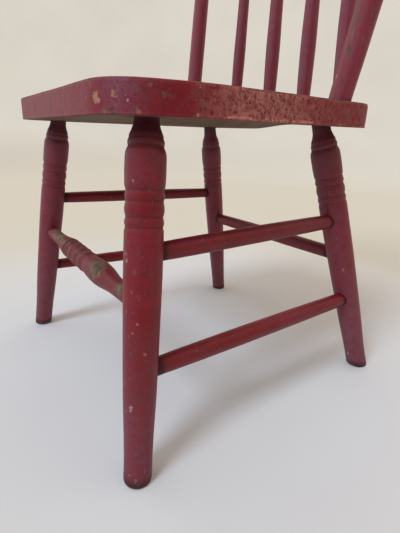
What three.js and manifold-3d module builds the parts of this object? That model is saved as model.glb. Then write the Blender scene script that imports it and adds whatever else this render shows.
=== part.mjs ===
// Doll-size spindle-back chair: a plank seat, four turned legs joined by plain and
// turned stretchers, and a fanned back of two posts, four spindles and a bent crest rail.
// Millimetres, +Z up. The sitter faces -Y, and the sitter's left hand is at +X.
// The origin is on the floor, under the middle of the chair.

import * as THREE from 'three';
import * as BufferGeometryUtils from 'three/addons/utils/BufferGeometryUtils.js';
import Module from 'manifold-3d';

const wasm = await Module();
wasm.setup();

// ---------------------------------------------------------------- driving dimensions

const JOINT_GAP = 0.3; // glue line left all round each tenon in its socket

const SEAT_UNDERSIDE = 125;
const SEAT_THICKNESS = 10.2;
const SEAT_TOP = SEAT_UNDERSIDE + SEAT_THICKNESS;
const SEAT = {
  frontY: -72.6,
  frontHalfWidth: 65.6,
  widestY: -40.2,
  widestHalfWidth: 71.2,
  rearCornerY: 52.9,
  rearHalfWidth: 64.2,
  rearMiddleY: 66.5,
  frontCornerRadius: 19.5,
  rearCornerRadius: 15,
  edgeRounding: 0.9,
};

// Leg axes: where they meet the floor and where they meet the seat's underside.
const FRONT_LEG = { foot: [73.7, -69.45], head: [54.3, -54.2] };
const REAR_LEG = { foot: [66.6, 69.45], head: [45.8, 39.8] };
const LEG_TENON = { radius: 4.0, length: 6.2 };

const STRETCHER_END_RADIUS = 3.1;
const STRETCHER_END_SHORT_OF_LEG_AXIS = 2;
const STRETCHER_END_IN_LEG = 5.6; // past this the stretcher is clear of the leg

// Back members stand on the seat's top. Lean is sideways and backwards, per mm of rise.
const POST = { foot: [58.7, 33.9], lean: [0.105, 0.148] };
const OUTER_SPINDLE = { foot: [40.9, 55.6], lean: [-0.043, 0.01] };
const INNER_SPINDLE = { foot: [13.7, 59.8], lean: [-0.007, 0] };
const POST_TENON_RADIUS = 3.2;
const SPINDLE_TENON_RADIUS = 2.2;
const FOOT_TENON_LENGTH = 6.5;
const HEAD_TENON_LENGTH = 7;

const CREST = {
  rise: 125, // from the seat's top to the rail's underside
  middleY: 60.3,
  thickness: 9.5,
  bendRadius: 300,
  halfLength: 80,
  endHeight: 27,
  crownHeight: 35,
  topCornerRadius: 10,
  bottomCornerRadius: 3,
};
const CREST_BOTTOM = SEAT_TOP + CREST.rise;

const LEG_SEGMENTS = 16;
const ROD_SEGMENTS = 14;

const LEFT = 1;
const RIGHT = -1;

// The turnings were made by eye, so each has a girth of its own beside its pattern's.
const LEGS = {
  front_left_leg: { line: FRONT_LEG, side: LEFT, girth: 1 },
  front_right_leg: { line: FRONT_LEG, side: RIGHT, girth: 0.95 },
  rear_left_leg: { line: REAR_LEG, side: LEFT, girth: 1 },
  rear_right_leg: { line: REAR_LEG, side: RIGHT, girth: 0.92 },
};

// Each stretcher runs between two legs, and its axis meets theirs at these heights.
const STRETCHERS = {
  left_upper_stretcher: { ends: [['front_left_leg', 81.2], ['rear_left_leg', 81.5]], girth: 1.07 },
  left_lower_stretcher: { ends: [['front_left_leg', 40.3], ['rear_left_leg', 40.3]], girth: 1.1 },
  right_upper_stretcher: { ends: [['front_right_leg', 82.7], ['rear_right_leg', 81.3]], girth: 0.97 },
  right_lower_stretcher: { ends: [['front_right_leg', 40.3], ['rear_right_leg', 40.3]], girth: 0.97 },
  front_stretcher: { ends: [['front_right_leg', 63.2], ['front_left_leg', 63.2]], girth: 1 },
  rear_stretcher: { ends: [['rear_right_leg', 62.4], ['rear_left_leg', 63.4]], girth: 1.06 },
};

// ---------------------------------------------------------------- turning profiles

// Each profile is a list of [distance along the axis, radius].

// From the floor to the seat's underside: tapered foot, long shaft, three beads between
// four grooves, plain barrel, rounded shoulder, groove, collar and flared neck.
const LEG_PROFILE = [
  [-2.5, 4.2],
  [0, 4.9],
  [0.9, 5.1],
  [7.6, 5.15],
  [15.4, 5.3],
  [30.7, 5.85],
  [45.6, 6.2],
  [60, 6.45],
  [74, 6.65],
  [90.2, 6.65],
  [91.9, 6.15],
  [93.6, 6.6],
  [95.4, 6.1],
  [97.9, 6.7],
  [100.5, 6.15],
  [102.3, 6.65],
  [104.1, 6.2],
  [105.8, 6.75],
  [111, 6.85],
  [115, 6.75],
  [117, 6.35],
  [118.1, 5.85],
  [119.2, 6.05],
  [120.6, 5.8],
  [121.6, 5.35],
  [123.4, 4.75],
  [125.4, 4.2],
];

// Side and rear stretchers, as fractions of the visible length: nearly plain rods.
const PLAIN_STRETCHER_PROFILE = [
  [0.12, 3.25],
  [0.5, 3.45],
  [0.88, 3.25],
];

// Front stretcher, from its right-hand end to its left-hand end: plain end, swelling,
// a run of ridges, a smooth bulb and a plain end.
const FRONT_STRETCHER_PROFILE = [
  [0.2, 3.4],
  [0.26, 3.9],
  [0.32, 4.8],
  [0.343, 5.0],
  [0.36, 4.55],
  [0.38, 5.05],
  [0.41, 4.6],
  [0.44, 5.1],
  [0.47, 4.6],
  [0.498, 5.05],
  [0.525, 4.55],
  [0.553, 4.95],
  [0.582, 4.45],
  [0.61, 4.8],
  [0.65, 5.15],
  [0.69, 5.25],
  [0.73, 5.0],
  [0.775, 4.3],
  [0.82, 3.7],
  [0.9, 3.3],
];

// Back posts, from the seat's top to the crest rail, as fractions of the visible length.
const POST_PROFILE = [
  [0, 4.6],
  [0.15, 4.75],
  [0.4, 4.7],
  [0.7, 4.4],
  [1, 4.0],
];

// Spindles swell in their lower third, then taper up to the crest rail.
const SPINDLE_PROFILE = [
  [0, 3.2],
  [0.12, 3.45],
  [0.25, 3.6],
  [0.4, 3.3],
  [0.6, 3.0],
  [1, 2.6],
];

const BACK_MEMBERS = {
  left_back_post: back(POST, LEFT, POST_TENON_RADIUS, POST_PROFILE, 1.03),
  right_back_post: back(POST, RIGHT, POST_TENON_RADIUS, POST_PROFILE, 0.95),
  left_outer_spindle: back(OUTER_SPINDLE, LEFT, SPINDLE_TENON_RADIUS, SPINDLE_PROFILE, 1),
  left_inner_spindle: back(INNER_SPINDLE, LEFT, SPINDLE_TENON_RADIUS, SPINDLE_PROFILE, 1.09),
  right_inner_spindle: back(INNER_SPINDLE, RIGHT, SPINDLE_TENON_RADIUS, SPINDLE_PROFILE, 1.09),
  right_outer_spindle: back(OUTER_SPINDLE, RIGHT, SPINDLE_TENON_RADIUS, SPINDLE_PROFILE, 0.98),
};

function back(line, side, tenonRadius, profile, girth) {
  return { line, side, tenonRadius, profile, girth };
}

// ---------------------------------------------------------------- small helpers

// A solid of revolution about +Y, closed on the axis at both ends.
function turn(profile, segments) {
  const points = profile.map(([along, radius]) => new THREE.Vector2(radius, along));
  const first = new THREE.Vector2(0, profile[0][0]);
  const last = new THREE.Vector2(0, profile[profile.length - 1][0]);
  return new THREE.LatheGeometry([first, ...points, last], segments);
}

// Painted wood, in a shade of its own for each piece.
function paint(color, roughness = 0.55) {
  return new THREE.MeshStandardMaterial({ color, roughness, metalness: 0 });
}

function namedMesh(name, geometry, material) {
  const mesh = new THREE.Mesh(geometry, material);
  mesh.name = name;
  return mesh;
}

// Stands a mesh that was turned about +Y on the line from one point to another.
function alignAlong(mesh, from, to) {
  const direction = to.clone().sub(from).normalize();
  mesh.position.copy(from);
  mesh.quaternion.setFromUnitVectors(new THREE.Vector3(0, 1, 0), direction);
  mesh.updateMatrixWorld();
  return mesh;
}

// A plain round cutter or rod between two points.
function rodBetween(from, to, radius, segments = ROD_SEGMENTS) {
  const length = from.distanceTo(to);
  const geometry = turn([[0, radius], [length, radius]], segments);
  return alignAlong(new THREE.Mesh(geometry), from, to);
}

function toSolid(geometry) {
  const bare = geometry.clone();
  bare.deleteAttribute('normal');
  bare.deleteAttribute('uv');
  const merged = BufferGeometryUtils.mergeVertices(bare, 1e-4);
  return new wasm.Manifold(new wasm.Mesh({
    numProp: 3,
    vertProperties: new Float32Array(merged.attributes.position.array),
    triVerts: new Uint32Array(merged.index.array),
  }));
}

function toGeometry(solid) {
  const { vertProperties, triVerts } = solid.getMesh();
  const geometry = new THREE.BufferGeometry();
  geometry.setAttribute('position', new THREE.BufferAttribute(vertProperties, 3));
  geometry.setIndex(new THREE.BufferAttribute(triVerts, 1));
  geometry.computeVertexNormals();
  return geometry;
}

// Takes placed cutters out of a placed mesh, working in the mesh's own frame.
function cut(mesh, cutters) {
  const toLocal = mesh.matrixWorld.clone().invert();
  let solid = toSolid(mesh.geometry);
  for (const cutter of cutters) {
    const geometry = cutter.geometry.clone();
    geometry.applyMatrix4(cutter.matrixWorld);
    geometry.applyMatrix4(toLocal);
    solid = solid.subtract(toSolid(geometry));
  }
  mesh.geometry = toGeometry(solid);
  return mesh;
}

// ---------------------------------------------------------------- layout

// The point on a leg's axis at a height above the floor.
function legPoint(line, side, z) {
  const share = z / SEAT_UNDERSIDE;
  const x = THREE.MathUtils.lerp(line.foot[0], line.head[0], share);
  const y = THREE.MathUtils.lerp(line.foot[1], line.head[1], share);
  return new THREE.Vector3(side * x, y, z);
}

// The point on a post's or spindle's axis at a height above the seat's top.
function backPoint(line, side, rise) {
  const x = line.foot[0] + line.lean[0] * rise;
  const y = line.foot[1] + line.lean[1] * rise;
  return new THREE.Vector3(side * x, y, SEAT_TOP + rise);
}

function moveTowards(from, to, distance) {
  return from.clone().add(to.clone().sub(from).setLength(distance));
}

// The point where a stretcher's axis meets a named leg's.
function stretcherEnd([legName, z]) {
  const { line, side } = LEGS[legName];
  return legPoint(line, side, z);
}

// ---------------------------------------------------------------- sockets

// Blind socket for a stretcher, from outside the leg in to just short of its axis.
function stretcherSocket(atLeg, otherEnd) {
  const bottom = moveTowards(atLeg, otherEnd, STRETCHER_END_SHORT_OF_LEG_AXIS - JOINT_GAP);
  const mouth = moveTowards(atLeg, otherEnd, 12);
  return rodBetween(bottom, mouth, STRETCHER_END_RADIUS + JOINT_GAP);
}

function socketsInLeg(legName) {
  const sockets = [];
  for (const { ends } of Object.values(STRETCHERS)) {
    const [first, second] = ends.map(stretcherEnd);
    if (ends[0][0] === legName) sockets.push(stretcherSocket(first, second));
    if (ends[1][0] === legName) sockets.push(stretcherSocket(second, first));
  }
  return sockets;
}

// Blind socket in the seat's underside for a leg's head.
function legSocket({ line, side }) {
  const floor = legPoint(line, side, 0);
  const head = legPoint(line, side, SEAT_UNDERSIDE);
  const below = moveTowards(head, floor, 5);
  const top = moveTowards(head, floor, -(LEG_TENON.length + JOINT_GAP));
  return rodBetween(below, top, LEG_TENON.radius + JOINT_GAP, LEG_SEGMENTS);
}

// Blind socket in the seat's top for the foot of a post or spindle.
function backFootSocket({ line, side, tenonRadius }) {
  const bottom = backPoint(line, side, -(FOOT_TENON_LENGTH + JOINT_GAP));
  const above = backPoint(line, side, 5);
  return rodBetween(bottom, above, tenonRadius + JOINT_GAP);
}

// Blind socket in the crest rail's underside for the head of a post or spindle.
function backHeadSocket({ line, side, tenonRadius }) {
  const below = backPoint(line, side, CREST.rise - 6);
  const top = backPoint(line, side, CREST.rise + HEAD_TENON_LENGTH + JOINT_GAP);
  return rodBetween(below, top, tenonRadius + JOINT_GAP);
}

// ---------------------------------------------------------------- seat

// A round-cornered plank: straight front, sides widest near the front, bowed rear edge.
function seatOutline() {
  const corners = [
    { x: SEAT.frontHalfWidth, y: SEAT.frontY, radius: SEAT.frontCornerRadius },
    { x: SEAT.widestHalfWidth, y: SEAT.widestY, radius: 60 },
    { x: SEAT.rearHalfWidth, y: SEAT.rearCornerY, radius: SEAT.rearCornerRadius },
  ];
  const shape = new THREE.Shape();
  shape.moveTo(0, SEAT.frontY);
  const path = [{ x: 0, y: SEAT.frontY }, ...corners, { x: 0, y: SEAT.rearMiddleY }];
  for (let i = 1; i < path.length - 1; i += 1) roundCorner(shape, path[i - 1], path[i], path[i + 1]);
  const bow = SEAT.rearMiddleY;
  shape.quadraticCurveTo(SEAT.rearHalfWidth * 0.45, bow, 0, bow);
  const half = shape.getPoints(6).slice(1);
  const mirrored = half.slice(0, -1).reverse().map((point) => new THREE.Vector2(-point.x, point.y));
  return new THREE.Shape([...half, ...mirrored]);
}

// Draws up to a corner and round it, with a curve that touches both of its sides.
function roundCorner(shape, before, corner, after) {
  const at = new THREE.Vector2(corner.x, corner.y);
  const back = new THREE.Vector2(before.x, before.y).sub(at);
  const ahead = new THREE.Vector2(after.x, after.y).sub(at);
  const halfAngle = back.angleTo(ahead) / 2;
  const wanted = corner.radius / Math.tan(halfAngle);
  const reach = Math.min(wanted, back.length() * 0.45, ahead.length() * 0.45);
  const start = at.clone().add(back.setLength(reach));
  const end = at.clone().add(ahead.setLength(reach));
  shape.lineTo(start.x, start.y);
  shape.quadraticCurveTo(at.x, at.y, end.x, end.y);
}

function makeSeat() {
  const rounding = SEAT.edgeRounding;
  const geometry = new THREE.ExtrudeGeometry(seatOutline(), {
    depth: SEAT_THICKNESS - 2 * rounding,
    bevelEnabled: true,
    bevelThickness: rounding,
    bevelSize: rounding,
    bevelOffset: -rounding,
    bevelSegments: 2,
    steps: 1,
  });
  geometry.translate(0, 0, rounding);
  const seat = namedMesh('seat', geometry, paint(0x7a2f31, 0.5));
  seat.position.z = SEAT_UNDERSIDE;
  seat.updateMatrixWorld();
  const sockets = [
    ...Object.values(LEGS).map(legSocket),
    ...Object.values(BACK_MEMBERS).map(backFootSocket),
  ];
  return cut(seat, sockets);
}

// ---------------------------------------------------------------- legs and stretchers

function makeLeg(name, { line, side, girth }) {
  const floor = legPoint(line, side, 0);
  const head = legPoint(line, side, SEAT_UNDERSIDE);
  const length = floor.distanceTo(head);
  const body = LEG_PROFILE.map(([along, radius]) => [along, radius * girth]);
  const tenon = [
    [length - 0.8, LEG_TENON.radius],
    [length + LEG_TENON.length, LEG_TENON.radius],
  ];
  const mesh = namedMesh(name, turn([...body, ...tenon], LEG_SEGMENTS), paint(0x6e2630));
  alignAlong(mesh, floor, head);
  const ground = new THREE.Mesh(new THREE.BoxGeometry(40, 40, 20));
  ground.position.set(floor.x, floor.y, -10);
  ground.updateMatrixWorld();
  return cut(mesh, [ground, ...socketsInLeg(name)]);
}

function scaleProfile(profile, length, girth) {
  return profile.map(([share, radius]) => [share * length, radius * girth]);
}

// A stretcher keeps its round ends at one size, so that they fit their sockets.
function makeStretcher(name, { ends, girth }, profile) {
  const [first, second] = ends.map(stretcherEnd);
  const start = moveTowards(first, second, STRETCHER_END_SHORT_OF_LEG_AXIS);
  const end = moveTowards(second, first, STRETCHER_END_SHORT_OF_LEG_AXIS);
  const length = start.distanceTo(end);
  const between = scaleProfile(profile, length, girth);
  const fullProfile = [
    [0, STRETCHER_END_RADIUS],
    [STRETCHER_END_IN_LEG, STRETCHER_END_RADIUS],
    ...between,
    [length - STRETCHER_END_IN_LEG, STRETCHER_END_RADIUS],
    [length, STRETCHER_END_RADIUS],
  ];
  return alignAlong(namedMesh(name, turn(fullProfile, ROD_SEGMENTS), paint(0x6a1f28)), start, end);
}

// ---------------------------------------------------------------- back

// Where a back member's axis comes out of the rail's underside, which tilts and curves.
function headRise(line) {
  const tilt = Math.atan(POST.lean[1]);
  const x = line.foot[0] + line.lean[0] * CREST.rise;
  const sagitta = CREST.bendRadius - Math.sqrt(CREST.bendRadius ** 2 - x ** 2);
  return CREST.rise + sagitta * Math.sin(tilt) - CREST.thickness / 2 * Math.sin(tilt) - JOINT_GAP;
}

function makeBackMember(name, { line, side, tenonRadius, profile, girth }) {
  const bottom = backPoint(line, side, -FOOT_TENON_LENGTH);
  const shoulder = backPoint(line, side, JOINT_GAP + 0.6);
  const head = backPoint(line, side, headRise(line));
  const top = backPoint(line, side, CREST.rise + HEAD_TENON_LENGTH);
  const footLength = bottom.distanceTo(shoulder);
  const visible = shoulder.distanceTo(head);
  const body = scaleProfile(profile, visible, girth).map(([along, radius]) => [along + footLength, radius]);
  const fullProfile = [
    [0, tenonRadius],
    [footLength, tenonRadius],
    ...body,
    [footLength + visible, tenonRadius],
    [bottom.distanceTo(top), tenonRadius],
  ];
  const mesh = namedMesh(name, turn(fullProfile, ROD_SEGMENTS), paint(0x70303c));
  return alignAlong(mesh, bottom, top);
}

// The rail's face seen square on: straight foot, upright ends, a low crown.
function crestOutline() {
  const { halfLength, endHeight, crownHeight, topCornerRadius, bottomCornerRadius } = CREST;
  const shape = new THREE.Shape();
  shape.moveTo(0, 0);
  shape.lineTo(halfLength - 2 - bottomCornerRadius, 0);
  shape.quadraticCurveTo(halfLength - 2, 0, halfLength - 2, bottomCornerRadius);
  shape.lineTo(halfLength, endHeight - topCornerRadius);
  shape.quadraticCurveTo(halfLength, endHeight, halfLength - topCornerRadius, endHeight + 1);
  shape.quadraticCurveTo(halfLength * 0.5, crownHeight, 0, crownHeight);
  const half = shape.getPoints(8);
  const mirrored = half.slice(1, -1).reverse().map((point) => new THREE.Vector2(-point.x, point.y));
  return new THREE.Shape([...half, ...mirrored]);
}

// The rail seen from above: a bent board of even thickness.
function crestPlan() {
  const { bendRadius, thickness, halfLength } = CREST;
  const halfAngle = Math.asin((halfLength + 5) / bendRadius);
  const middle = Math.PI / 2;
  const shape = new THREE.Shape();
  shape.absarc(0, -bendRadius, bendRadius + thickness / 2, middle - halfAngle, middle + halfAngle, false);
  shape.absarc(0, -bendRadius, bendRadius - thickness / 2, middle + halfAngle, middle - halfAngle, true);
  return shape;
}

function makeCrestRail() {
  const board = new THREE.ExtrudeGeometry(crestPlan(), {
    depth: CREST.crownHeight + 10,
    bevelEnabled: false,
    curveSegments: 20,
  });
  board.translate(0, 0, -5);
  const elevation = new THREE.ExtrudeGeometry(crestOutline(), { depth: 80, bevelEnabled: false });
  elevation.translate(0, 0, -40);
  elevation.rotateX(Math.PI / 2);
  const sawn = toGeometry(toSolid(board).intersect(toSolid(elevation)));
  const rail = namedMesh('crest_rail', sawn, paint(0x742c33));
  rail.position.set(0, CREST.middleY, CREST_BOTTOM);
  rail.rotation.x = -Math.atan(POST.lean[1]);
  rail.updateMatrixWorld();
  return cut(rail, Object.values(BACK_MEMBERS).map(backHeadSocket));
}

// ---------------------------------------------------------------- assembly

const chair = new THREE.Group();

const undercarriage = new THREE.Group();
for (const [name, leg] of Object.entries(LEGS)) {
  undercarriage.add(makeLeg(name, leg));
}
for (const [name, stretcher] of Object.entries(STRETCHERS)) {
  const profile = name === 'front_stretcher' ? FRONT_STRETCHER_PROFILE : PLAIN_STRETCHER_PROFILE;
  undercarriage.add(makeStretcher(name, stretcher, profile));
}

const chairBack = new THREE.Group();
for (const [name, member] of Object.entries(BACK_MEMBERS)) {
  chairBack.add(makeBackMember(name, member));
}
chairBack.add(makeCrestRail());

chair.add(undercarriage, makeSeat(), chairBack);

export default chair;
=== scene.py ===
# A doll-size spindle-back chair in worn red paint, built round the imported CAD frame.
# Metres, +Z up. The sitter faces -Y, and the sitter's left hand is at +X.

import math

import bpy
import numpy as np
from mathutils import Matrix, Vector, noise


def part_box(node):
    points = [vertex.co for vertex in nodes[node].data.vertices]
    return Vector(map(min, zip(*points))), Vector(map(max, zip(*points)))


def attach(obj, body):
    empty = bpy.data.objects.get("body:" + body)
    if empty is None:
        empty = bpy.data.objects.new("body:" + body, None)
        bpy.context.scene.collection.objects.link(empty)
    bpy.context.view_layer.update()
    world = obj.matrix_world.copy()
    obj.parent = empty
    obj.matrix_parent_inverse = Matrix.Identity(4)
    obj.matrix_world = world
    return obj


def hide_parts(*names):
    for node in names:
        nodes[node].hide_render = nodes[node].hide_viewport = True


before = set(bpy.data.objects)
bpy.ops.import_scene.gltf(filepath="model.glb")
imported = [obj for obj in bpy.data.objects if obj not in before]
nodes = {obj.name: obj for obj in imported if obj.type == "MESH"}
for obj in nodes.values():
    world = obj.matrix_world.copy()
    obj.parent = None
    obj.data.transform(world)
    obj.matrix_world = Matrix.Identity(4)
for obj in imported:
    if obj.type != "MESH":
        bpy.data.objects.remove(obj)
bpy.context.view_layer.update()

MM = 0.001
UP = (0, 0, 1)
LEFTWARDS = (1, 0, 0)
BACKWARDS = (0, 1, 0)

# ---- camera and light

CAMERA_PLACE = (0.1766, -0.11375, 0.12025)
CAMERA_YAW = 56.13
CAMERA_PITCH = -18.67
CAMERA_ROLL = 1.83
CAMERA_LENS = 26.35
CAMERA_SENSOR = 36
CAMERA_NEAREST = 0.005


def make_camera():
    """Looks down on the chair from beside its front left leg, level with the seat's underside."""
    yaw, pitch, roll = (math.radians(a) for a in (CAMERA_YAW, CAMERA_PITCH, CAMERA_ROLL))
    forward = Vector((
        -math.sin(yaw) * math.cos(pitch),
        math.cos(yaw) * math.cos(pitch),
        math.sin(pitch),
    ))
    level = Vector((math.cos(yaw), math.sin(yaw), 0))
    above = level.cross(forward)
    right = level * math.cos(roll) + above * math.sin(roll)
    up = above * math.cos(roll) - level * math.sin(roll)
    data = bpy.data.cameras.new("camera")
    data.sensor_width = CAMERA_SENSOR
    data.lens = CAMERA_LENS
    data.clip_start = CAMERA_NEAREST
    camera = bpy.data.objects.new("camera", data)
    turn = Matrix((right, up, -forward)).transposed().to_4x4()
    camera.matrix_world = Matrix.Translation(CAMERA_PLACE) @ turn
    bpy.context.scene.collection.objects.link(camera)
    bpy.context.scene.camera = camera


# The window in front of the chair: where its light comes from, its strength, how many degrees
# across it is, and its colour.
WINDOW = (0.15, -0.66, 0.73)
WINDOW_STRENGTH = 1.95
WINDOW_SPREAD = 20
WINDOW_COLOR = (0.74, 0.86, 1.0)

# Soft light from round the room: direction it comes from, the cosines between which it fades in,
# strength and colour.
ROOM_GLOW = [
    ((-0.82, 0.54, 0.2), -0.3, 1.0, 0.45, (1.0, 0.88, 0.72)),
    ((-0.36, -0.92, 0.18), 0.34, 0.66, 0.68, (0.7, 0.84, 1.0)),
    ((0, 0, 1), -0.1, 1.0, 0.5, (1.0, 0.89, 0.74)),
    ((0.66, 0.72, 0.22), 0.0, 1.0, 0.36, (1.0, 0.74, 0.66)),
]
ROOM_DARKEST = (0.055, 0.045, 0.04, 1)


def set_inputs(tree, node, inputs):
    """Sets a node's inputs, by name or number, to values, or links them to sockets."""
    for key, value in inputs.items():
        if isinstance(value, bpy.types.NodeSocket):
            tree.links.new(value, node.inputs[key])
        else:
            node.inputs[key].default_value = value


def add_node(tree, kind, inputs, **settings):
    node = tree.nodes.new("ShaderNode" + kind)
    for name, value in settings.items():
        setattr(node, name, value)
    set_inputs(tree, node, inputs)
    return node


def make_window():
    """Parallel light from the window's direction, which casts soft shadows but no highlights."""
    data = bpy.data.lights.new("window", "SUN")
    data.energy = WINDOW_STRENGTH
    data.angle = math.radians(WINDOW_SPREAD)
    data.color = WINDOW_COLOR
    light = bpy.data.objects.new("window", data)
    light.rotation_mode = "QUATERNION"
    light.rotation_quaternion = Vector(WINDOW).to_track_quat("Z", "Y")
    light.visible_glossy = False
    bpy.context.scene.collection.objects.link(light)


def add_glow(tree, direction, color, towards, fades_from, full_at, strength, tint):
    """Adds one soft light of the room to the colour so far, and returns the sum's socket."""
    towards = Vector(towards).normalized()
    dot = add_node(tree, "VectorMath", {0: direction, 1: towards}, operation="DOT_PRODUCT")
    limits = {"Value": dot.outputs["Value"], "From Min": fades_from, "From Max": full_at}
    fade = add_node(tree, "MapRange", limits, interpolation_type="SMOOTHSTEP")
    inputs = {
        "Factor": fade.outputs["Result"],
        "A": color,
        "B": (*(strength * c for c in tint), 1),
    }
    return add_node(tree, "Mix", inputs, data_type="RGBA", blend_type="ADD").outputs["Result"]


def make_room():
    """The room's own light: pale behind the chair and above it, and dim beside it."""
    world = bpy.data.worlds.new("room")
    world.use_nodes = True
    tree = world.node_tree
    direction = add_node(tree, "TexCoord", {}).outputs["Generated"]
    color = ROOM_DARKEST
    for glow in ROOM_GLOW:
        color = add_glow(tree, direction, color, *glow)
    tree.links.new(color, tree.nodes["Background"].inputs["Color"])
    bpy.context.scene.world = world
    bpy.context.scene.view_settings.view_transform = "Standard"
    bpy.context.scene.view_settings.look = "None"


# ---- material nodes


def srgb(red, green, blue):
    """A colour given in the usual 0 to 255 steps, as linear light."""
    steps = [c / 255 for c in (red, green, blue)]
    linear = [c / 12.92 if c <= 0.04045 else ((c + 0.055) / 1.055) ** 2.4 for c in steps]
    return (*linear, 1)


class Graph:
    """One material's nodes. Each method adds a node and returns its output socket."""

    def __init__(self, name):
        self.material = bpy.data.materials.new(name)
        self.material.use_nodes = True
        self.tree = self.material.node_tree
        self.tree.nodes.clear()
        self.shader = add_node(self.tree, "BsdfPrincipled", {})
        add_node(self.tree, "OutputMaterial", {"Surface": self.shader.outputs["BSDF"]})
        place = add_node(self.tree, "TexCoord", {}).outputs["Object"]
        self.mm = self.vector("SCALE", {0: place, "Scale": 1000})

    def vector(self, operation, inputs):
        return add_node(self.tree, "VectorMath", inputs, operation=operation).outputs["Vector"]

    def math(self, operation, a, b=0.0, clamp=False):
        return add_node(self.tree, "Math", {0: a, 1: b}, operation=operation, use_clamp=clamp).outputs[0]

    def add(self, *values):
        total = values[0]
        for value in values[1:]:
            total = self.math("ADD", total, value)
        return total

    def times(self, *values):
        product = values[0]
        for value in values[1:]:
            product = self.math("MULTIPLY", product, value)
        return product

    def about(self, value, middle, gain):
        """How far a noise is off its middle value, times gain."""
        return self.times(self.math("SUBTRACT", value, middle), gain)

    def attribute(self, name):
        return add_node(self.tree, "Attribute", {}, attribute_name=name).outputs["Fac"]

    def noise(self, scale, detail=3.0, roughness=0.55, stretch=None, shift=0.0, distortion=0.0):
        """Noise from 0 to 1 with `scale` cells per mm. `stretch` multiplies the cells per axis."""
        place = self.mm
        if stretch:
            place = self.vector("MULTIPLY", {0: place, 1: stretch})
        if shift:
            place = self.vector("ADD", {0: place, 1: (shift, shift * 0.7, -shift)})
        inputs = {
            "Vector": place,
            "Scale": scale,
            "Detail": detail,
            "Roughness": roughness,
            "Distortion": distortion,
        }
        return add_node(self.tree, "TexNoise", inputs, noise_dimensions="3D").outputs["Fac"]

    def cells(self, scale, shift=0.0):
        """Distance from the middle of the nearest of `scale` cells per mm."""
        place = self.vector("ADD", {0: self.mm, 1: (shift, -shift, shift * 0.3)})
        inputs = {"Vector": place, "Scale": scale}
        return add_node(self.tree, "TexVoronoi", inputs, feature="F1").outputs["Distance"]

    def step(self, value, low, high, to_low=0.0, to_high=1.0):
        """Rises smoothly from to_low to to_high as value goes from low to high."""
        inputs = {"Value": value, "From Min": low, "From Max": high, "To Min": to_low, "To Max": to_high}
        return add_node(self.tree, "MapRange", inputs, interpolation_type="SMOOTHSTEP").outputs["Result"]

    def mix(self, share, a, b):
        inputs = {"Factor": share, "A": a, "B": b}
        return add_node(self.tree, "Mix", inputs, data_type="RGBA", clamp_factor=True).outputs["Result"]

    def ramp(self, share, *stops):
        node = add_node(self.tree, "ValToRGB", {"Fac": share})
        elements = node.color_ramp.elements
        while len(elements) < len(stops):
            elements.new(0.5)
        for element, (position, color) in zip(elements, stops):
            element.position = position
            element.color = color
        return node.outputs["Color"]

    def finish(self, color, roughness, height_mm, specular):
        bump = add_node(self.tree, "Bump", {"Strength": 1.0, "Distance": MM, "Height": height_mm})
        set_inputs(self.tree, self.shader, {
            "Base Color": color,
            "Roughness": roughness,
            "Normal": bump.outputs["Normal"],
            "Specular IOR Level": specular,
        })
        return self.material


# Paint and wood colours.
DEEP_RED = srgb(112, 17, 24)
RASPBERRY = srgb(124, 24, 37)
OLD_RED = srgb(90, 19, 28)
DUSTY_RED = srgb(160, 104, 98)
SANDY_RED = srgb(180, 116, 108)
# A purple haze, partly painted sheen.
BLOOM_AND_SHEEN = srgb(132, 88, 104)
PINK_SCUFF = srgb(196, 112, 110)
PALE_PINK = srgb(216, 130, 124)
# Dark dirt, also used as painted shade under the seat.
GRIME_AND_SHADE = srgb(34, 16, 20)
OCHRE_WOOD = srgb(188, 132, 88)
TAN_WOOD = srgb(146, 104, 84)
OLIVE_WOOD = srgb(98, 80, 62)
DARK_OLIVE = srgb(70, 56, 44)
PALE_PRIMER = srgb(168, 152, 140)
UNDER_WOOD = srgb(112, 84, 64)
UNDER_DARK = srgb(80, 62, 46)
UNDER_PALE = srgb(132, 106, 86)

# How much of the colour below each kind of mark covers.
SCUFF_COVER = 0.26
SCRATCH_COVER = 0.18
SMUDGE_COVER = 0.2
GRIME_AND_SHADE_COVER = 0.84
PIT_COVER = 0.7
BEAD_COVER = 0.85
RUBBED_COVER = 0.9
CHIP_COVER = 0.62

# The floor's colours beside the chair and further off, which paint cool light near it and warm light
# further off, and the wall's own colour and its glow.
FLOOR_COOL = srgb(208, 209, 211)
FLOOR_SHADED = srgb(204, 204, 206)
FLOOR_WARM = srgb(203, 196, 181)
WALL_PAINT = srgb(44, 42, 40)
WALL_GLOW = srgb(217, 210, 198)
WALL_GLOW_SHADED = srgb(212, 206, 194)
# The distances in mm from the chair's middle over which the floor's painted light turns warm, and the
# height in mm at which the wall has its full glow.
FLOOR_WARMS = (80, 320)
WALL_FADES_IN = 130


def bare_wood_color(g, grain):
    """Old wood under worn paint: olive and tan, darker along the grain and where it is dirty."""
    patch = g.noise(0.3, detail=3, shift=31)
    tone = g.ramp(patch, (0.33, DARK_OLIVE), (0.52, OLIVE_WOOD), (0.76, TAN_WOOD))
    return g.mix(g.step(grain, 0.35, 0.7, 0, 0.28), tone, DARK_OLIVE)


def chip_color(g):
    """What shows in a small chip, from the tone attribute: dark olive, tan, ochre, pale primer."""
    varied = g.step(g.noise(0.33, detail=1, shift=57), 0.35, 0.7, -0.15, 0.2)
    tone = g.math("ADD", g.attribute("tone"), varied)
    return g.ramp(tone, (0.0, DARK_OLIVE), (0.33, TAN_WOOD), (0.66, OCHRE_WOOD), (1.0, PALE_PRIMER))


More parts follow.
